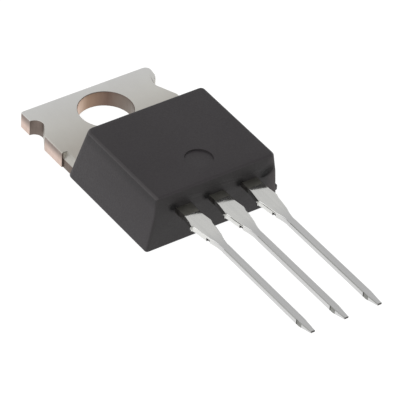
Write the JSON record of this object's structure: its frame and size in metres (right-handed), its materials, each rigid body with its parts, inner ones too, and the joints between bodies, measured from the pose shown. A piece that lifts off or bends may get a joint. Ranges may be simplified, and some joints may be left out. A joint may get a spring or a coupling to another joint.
{
  "type": "power mosfet",
  "caption": "Power transistor in a black moulded body, with a bored and notched heat-sink tab at one end and flat tinned leads at the other.",
  "frame": {"origin": "centre of the tab's mounting hole, on the tab's flat back face", "axes": "+Z out of the moulded front, away from the heat sink; +Y towards the tab's free end, with the leads pointing to -Y; +X to the right seen from the front with the leads down, on the side of the source lead"},
  "size_m": [0.0102, 0.0295, 0.0043],
  "materials": {
    "epoxy_moulding": "fine spark-eroded matt black",
    "tinned_copper": "satin tin plating on copper",
    "solder": "dull reflowed solder",
    "silicon": "polished, dark blue-grey, opaque",
    "aluminium_wire": "bright drawn wire"
  },
  "bodies": {
    "root": {"mould_body": "epoxy_moulding", "drain_frame": "tinned_copper", "gate_lead": "tinned_copper", "source_lead": "tinned_copper", "die_solder": "solder", "silicon_die": "silicon", "gate_wire": "aluminium_wire", "source_wire_1": "aluminium_wire", "source_wire_2": "aluminium_wire"}
  },
  "joints": []
}
